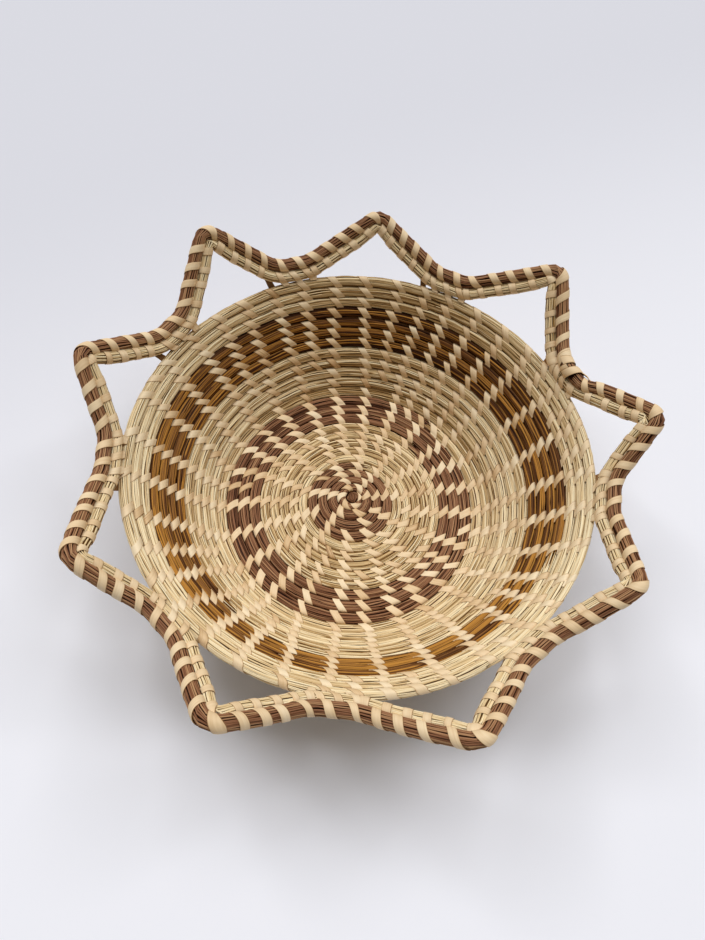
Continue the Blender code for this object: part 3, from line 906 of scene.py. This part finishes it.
class BASKET_OT_stage(bpy.types.Operator):
    """Lay the matt floor, and set the lamps, the soft sky and the photograph's camera"""

    bl_idname = "basket.stage"
    bl_label = "Stage"

    def execute(self, context):
        scene = context.scene
        scene.view_settings.view_transform = "Standard"
        mesh = bpy.data.meshes.new("floor")
        corners = [(x * CARD_HALF, y * CARD_HALF, 0) for x, y in ((-1, -1), (1, -1), (1, 1), (-1, 1))]
        mesh.from_pydata(corners, [], [(0, 1, 2, 3)])
        floor = bpy.data.objects.new("floor", mesh)
        # Just under the basket, so that no stitch dips into it
        floor.location.z = -0.1 * MM
        floor.rotation_euler.z = CARD_ANGLE
        scene.collection.objects.link(floor)
        # Matt card: pale, with hardly any shine, so that only the basket's shadow shows on it
        board = bpy.data.materials.new("matt_white_card")
        board.use_nodes = True
        tree = board.node_tree
        place = add_node(tree, "TexCoord")
        apart = add_node(tree, "SeparateXYZ", {"Vector": place.outputs["Object"]})
        # The card goes over to its darker colour beyond the basket: painted shade
        back = add_node(tree, "MapRange", {
            "Value": apart.outputs["Y"], "From Min": DARKER_FROM, "From Max": DARKER_TO,
        }, interpolation_type="SMOOTHSTEP")
        colours = scene.basket_colours
        tones = {"A": (*colours.floor, 1.0), "B": (*colours.far_card_shade, 1.0)}
        card = add_node(tree, "Mix", {"Factor": back.outputs["Result"], **tones}, data_type="RGBA")
        set_inputs(tree.nodes["Principled BSDF"], {
            "Base Color": card.outputs["Result"], "Roughness": 0.9, "Specular IOR Level": 0.1,
        })
        mesh.materials.append(board)

        for number, (place, energy) in enumerate(LAMPS, start=1):
            lamp = bpy.data.lights.new(f"ceiling_lamp_{number}", "SUN")
            lamp.angle = LAMP_ANGLE
            lamp.energy = energy
            stand = bpy.data.objects.new(lamp.name, lamp)
            stand.location = place
            stand.rotation_euler = (-stand.location).to_track_quat("-Z", "Y").to_euler()
            scene.collection.objects.link(stand)

        world = bpy.data.worlds.new("soft_sky")
        world.use_nodes = True
        sky = world.node_tree.nodes["Background"]
        set_inputs(sky, {"Color": SKY_COLOUR, "Strength": SKY_STRENGTH})
        scene.world = world

        photo = bpy.data.cameras.new("camera")
        photo.lens = FOCAL_PIXELS / PHOTO_HEIGHT * photo.sensor_width
        camera = bpy.data.objects.new("camera", photo)
        tilt, roll = Matrix.Rotation(CAMERA_TILT, 4, "X"), Matrix.Rotation(CAMERA_ROLL, 4, "Z")
        camera.matrix_world = Matrix.Translation(CAMERA_PLACE) @ tilt @ roll
        scene.collection.objects.link(camera)
        scene.camera = camera
        return {"FINISHED"}


class BASKET_OT_knot(bpy.types.Operator):
    """Wind the start knot from a thin bundle of pine needle"""

    bl_idname = "basket.knot"
    bl_label = "Start knot"

    def execute(self, context):
        sizes = context.scene.basket_sizes
        draw = chance("start_knot")
        loops = []
        for high, tilt, bearing in KNOT_LOOPS:
            loop = self.loop(high, tilt, bearing)
            winding = loop.length[-1] / KNOT_WINDINGS
            fine = sizes.pine_needle * KNOT_FINENESS
            loops += grass(loop, winding, winding * 2.1, "pine_needle", fine, draw, step=KNOT_STEP)
        new_piece("start_knot", loops, "pine_needle", "start_knot")
        return {"FINISHED"}

    def loop(self, high, tilt, bearing):
        """An oval loop. Its windings lie on each other, and only the middle one is laid with strands."""
        turn = np.linspace(0, -KNOT_WINDINGS * math.tau, 97)
        x, y = np.cos(turn) * KNOT_LENGTH / 2, np.sin(turn) * KNOT_WIDTH / 2
        z = high + np.sin(turn) * tilt
        c, s = math.cos(bearing), math.sin(bearing)
        across = side_by_side(x * c - y * s, x * s + y * c, 0.0)
        points = across + side_by_side(*KNOT_SHIFT, z)
        up = np.broadcast_to((0.0, 0.0, 1.0), points.shape)
        size = np.full(len(points), KNOT_BUNDLE)
        return Coil(points, unit(across), up, size, size)


class BASKET_OT_bowl(bpy.types.Operator):
    """Lay the strands of the bowl's six rings of grass"""

    bl_idname = "basket.bowl"
    bl_label = "Bowl grass"

    def execute(self, context):
        sizes = context.scene.basket_sizes
        places = bowl().length_at(RING_TURNS)
        for (ring, plant, _, row, _, tones), begin, end in zip(RINGS, places, places[1:]):
            node = f"{ring}_coil"
            fine = getattr(sizes, plant) * min(1.0, row / FULL_ROW)
            # The ring's tone, painted light at its sides and near side included, runs along its strands
            drift = functools.partial(ring_tone_and_painted_light, tones)
            strands = grass(bowl(), begin, end, plant, fine, chance(node), STAGGER, CORE_REACH, drift)
            new_piece(node, strands, plant, node)
        return {"FINISHED"}


class BASKET_OT_stitches(bpy.types.Operator):
    """Sew the bowl's rows together with strips of palm leaf"""

    bl_idname = "basket.stitches"
    bl_label = "Bowl stitches"

    def execute(self, context):
        sizes = context.scene.basket_sizes
        turns = bowl().stitch_turns
        for (ring, _, _, row, _, tones), begin, end in zip(RINGS, RING_TURNS, RING_TURNS[1:]):
            places = bowl().stitches[(turns >= begin) & (turns < end)]
            name = f"{ring}_stitches"
            width = sizes.stitch * min(1.0, row / FULL_STITCH_ROW)
            new_piece(name, bowl_stitches(places, width, sizes.leaf, tones, chance(name)), "palmetto")
        return {"FINISHED"}


class BASKET_OT_star_coils(bpy.types.Operator):
    """Lay the strands of the star's slim coil and its wrapped coil"""

    bl_idname = "basket.star_coils"
    bl_label = "Star coils"

    def execute(self, context):
        sizes = context.scene.basket_sizes
        slim_runs, wrapped_runs = star_runs()
        for node, runs, radius, plant, paler in (
            ("star_slim_coil", slim_runs, sizes.slim_radius, "sweetgrass", 0.1),
            ("star_wrapped_coil", wrapped_runs, sizes.wrapped_radius, "pine_needle", 0.18),
        ):
            coil = star_coil(runs, radius)
            drift = functools.partial(np.full_like, fill_value=paler)
            fine = getattr(sizes, plant)
            strands = grass(coil, 0, coil.length[-1], plant, fine, chance(node), drift=drift)
            new_piece(node, strands, plant, node)
        return {"FINISHED"}


class BASKET_OT_star_wraps(bpy.types.Operator):
    """Wind palm leaf round the star's wrapped coil, closely where its ends meet"""

    bl_idname = "basket.star_wraps"
    bl_label = "Star wraps"

    def execute(self, context):
        sizes = context.scene.basket_sizes
        runs = star_runs()[1]
        coil = star_coil(runs, sizes.wrapped_radius)
        begin = SPLICE_LENGTH / 2
        ends = valley_lengths(coil, runs)
        ends[-1] -= SPLICE_LENGTH / 2
        for number, end in enumerate(ends, start=1):
            turns = round((end - begin) / sizes.wrap_pitch)
            name = f"star_wrap_{number}"
            strip = helix(coil, begin, end, turns, sizes.wrap, sizes.leaf, chance(name), 0.0, WRAP_SWAY)
            new_piece(name, [strip], "palmetto", name)
            begin = end
        seam = star_coil([runs[-1][:-1] + runs[0]], sizes.wrapped_radius)
        middle = seam.length[len(runs[-1]) - 1]
        draw = chance("star_splice_wrap")
        thick = sizes.leaf * 1.4
        close = [
            helix(seam, middle + a, middle + b, turns, width, thick, draw, lead, 0.0, lift)
            for a, b, turns, width, lead, lift in SPLICE_STRIPS
        ]
        close.append(self.tail(seam, middle, thick, draw))
        new_piece("star_splice_wrap", close, "palmetto", "star_splice_wrap")
        return {"FINISHED"}

    def tail(self, seam, middle, thick, draw):
        """The strip's end, which lies along the coil's outer side and stands off it in a low arch."""
        way = np.linspace(0, 1, 13)[:, None]
        lengths = middle + END_START + way * END_LENGTH
        bearings = END_BEARING + STRIP_CORNERS * END_HALF_WIDTH * (1 - way * END_NARROWING)
        arch = END_ARCH * np.sin(way * math.pi) ** 0.8 + 0.3 * MM * (1 - way) - 0.5 * MM * way
        rings = seam.skin(lengths, bearings, arch + STRIP_HEIGHTS * thick)[None]
        return rings, 0.5 + STRIP_PAINTED_SHADE, strip_lay(rings, draw.uniform(0, 500, 1))


class BASKET_OT_star_stitches(bpy.types.Operator):
    """Sew the slim coil along the star, and lash it to the rim in the valleys"""

    bl_idname = "basket.star_stitches"
    bl_label = "Star stitches"

    def execute(self, context):
        sizes = context.scene.basket_sizes
        runs = star_runs()[0]
        coil = star_coil(runs, sizes.slim_radius)
        draw = chance("star_slim_stitches")
        strips = []
        place = sizes.slim_step
        last = coil.length[-1]
        valleys = valley_lengths(coil, runs)
        while place < last - VALLEY_ROOM:
            if min(abs(valleys - place)) < VALLEY_ROOM:
                place += MM
                continue
            ends = place + SLIM_SLANT[0], place + SLIM_SLANT[1]
            width = sizes.stitch * draw.uniform(0.7, 0.9)
            strips.append(helix(coil, *ends, 1.0, width, sizes.leaf * 0.9, draw))
            place += sizes.slim_step * draw.uniform(0.8, 1.25)
        # Two strips cross over the slim coil where the coils are joined
        thick = sizes.leaf * 1.3
        for a, b in CROSSED_STRIPS:
            ends = last + a, last + b
            strips.append(helix(coil, *ends, 1.0, CROSSED_WIDTH, thick, draw, 0.1, 0.0, 0.2 * MM))
        new_piece("star_slim_stitches", strips, "palmetto")
        for number, valley in enumerate(valleys, start=1):
            name = f"star_lashing_{number}"
            draw = chance(name)
            shifts = LASHINGS if number < len(valleys) else SPLICE_LASHINGS
            lashings = [self.lashing(coil, (valley + shift) % last, sizes, draw) for shift in shifts]
            new_piece(name, lashings, "palmetto", name)
        return {"FINISHED"}

    def lashing(self, coil, place, sizes, draw):
        """A stitch over the slim coil that goes into the rim's last row, on the face and on the back."""
        middle = coil.at(place)[0]
        here = bowl().rim_length(math.atan2(middle[1], middle[0]))
        half = sizes.stitch / 2 * draw.uniform(0.8, 0.95)
        lifts = STRIP_HEIGHTS * sizes.leaf
        ends = [
            bowl().skin(here + ahead + STRIP_CORNERS * half * share, math.radians(bearing), lifts + lift)
            for bearing, share, lift, ahead in LASHING_ENDS
        ]
        # The slim coil lies up the wall from the rim, so its stitch is turned by the wall's slope
        around = np.radians(np.linspace(142, -142, 15))[:, None]
        corners = place + slant(around) * 0.8 + STRIP_CORNERS * half
        over = coil.skin(corners, around + WALL_ANGLE, lifts)
        rings = np.stack([*ends[:2], *over, *ends[2:]])[None]
        tone = draw.normal(LEAF_TONE, 0.12) + STRIP_PAINTED_SHADE
        return rings, tone, strip_lay(rings, draw.uniform(0, 500, 1))


STEPS = (
    BASKET_OT_stage,
    BASKET_OT_knot,
    BASKET_OT_bowl,
    BASKET_OT_stitches,
    BASKET_OT_star_coils,
    BASKET_OT_star_wraps,
    BASKET_OT_star_stitches,
)


class BASKET_PT_panel(bpy.types.Panel):
    """The basket's steps, sizes and colours"""

    bl_idname = "BASKET_PT_panel"
    bl_label = "Coiled basket"
    bl_space_type = "VIEW_3D"
    bl_region_type = "UI"
    bl_category = "Basket"

    def draw(self, context):
        layout = self.layout
        for step in STEPS:
            layout.operator(step.bl_idname)
        for group in (context.scene.basket_sizes, context.scene.basket_colours):
            column = layout.column()
            for name in group.bl_rna.properties.keys():
                if name not in {"rna_type", "name"}:
                    column.prop(group, name)


CLASSES = (BasketSizes, BasketColours, *STEPS, BASKET_PT_panel)


def register():
    for cls in CLASSES:
        bpy.utils.register_class(cls)
    bpy.types.Scene.basket_sizes = bpy.props.PointerProperty(type=BasketSizes)
    bpy.types.Scene.basket_colours = bpy.props.PointerProperty(type=BasketColours)


def unregister():
    del bpy.types.Scene.basket_colours
    del bpy.types.Scene.basket_sizes
    for cls in reversed(CLASSES):
        bpy.utils.unregister_class(cls)


def main():
    register()
    for step in STEPS:
        group, name = step.bl_idname.split(".")
        getattr(getattr(bpy.ops, group), name)()


if __name__ == "__main__":
    main()
